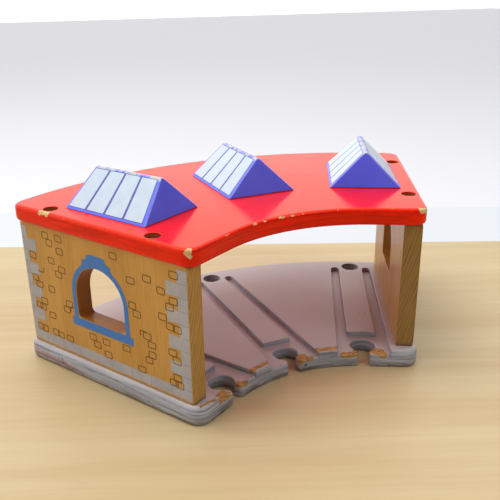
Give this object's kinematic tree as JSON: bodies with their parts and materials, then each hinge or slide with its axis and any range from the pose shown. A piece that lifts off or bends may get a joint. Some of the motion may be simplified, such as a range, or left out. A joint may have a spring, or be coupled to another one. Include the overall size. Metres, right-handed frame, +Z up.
{
  "type": "toy engine shed",
  "caption": "Three-stall wooden toy engine shed: grooved fan-shaped floor with coupling sockets, two side walls with arched windows, flat roof with triangular roof lights.",
  "frame": {"origin": "middle of the footprint's bounding box, on the ground", "axes": "+Z up; +Y to the rear, outwards along the middle stall, away from the turntable; the shed is mirror-symmetric about X = 0 but for small offsets of the roof lights"},
  "size_m": [0.3016, 0.184, 0.1335],
  "materials": {
    "floor_paint": "worn off-white paint on beech plywood",
    "varnished_wood": "honey varnish with printed stones",
    "roof_paint": "glossy red paint, chipped at the edges",
    "light_paint": "blue-violet paint with printed panes",
    "screw_steel": "yellow-passivated steel",
    "dowel_wood": "bare beech"
  },
  "bodies": {
    "root": {"base_board": "floor_paint", "left_wall": "varnished_wood", "right_wall": "varnished_wood", "roof_board": "roof_paint", "left_roof_light": "light_paint", "middle_roof_light": "light_paint", "right_roof_light": "light_paint", "left_roof_screws": "screw_steel", "right_roof_screws": "screw_steel", "left_base_screws": "screw_steel", "right_base_screws": "screw_steel", "left_light_dowels": "dowel_wood", "middle_light_dowels": "dowel_wood", "right_light_dowels": "dowel_wood"}
  },
  "joints": []
}
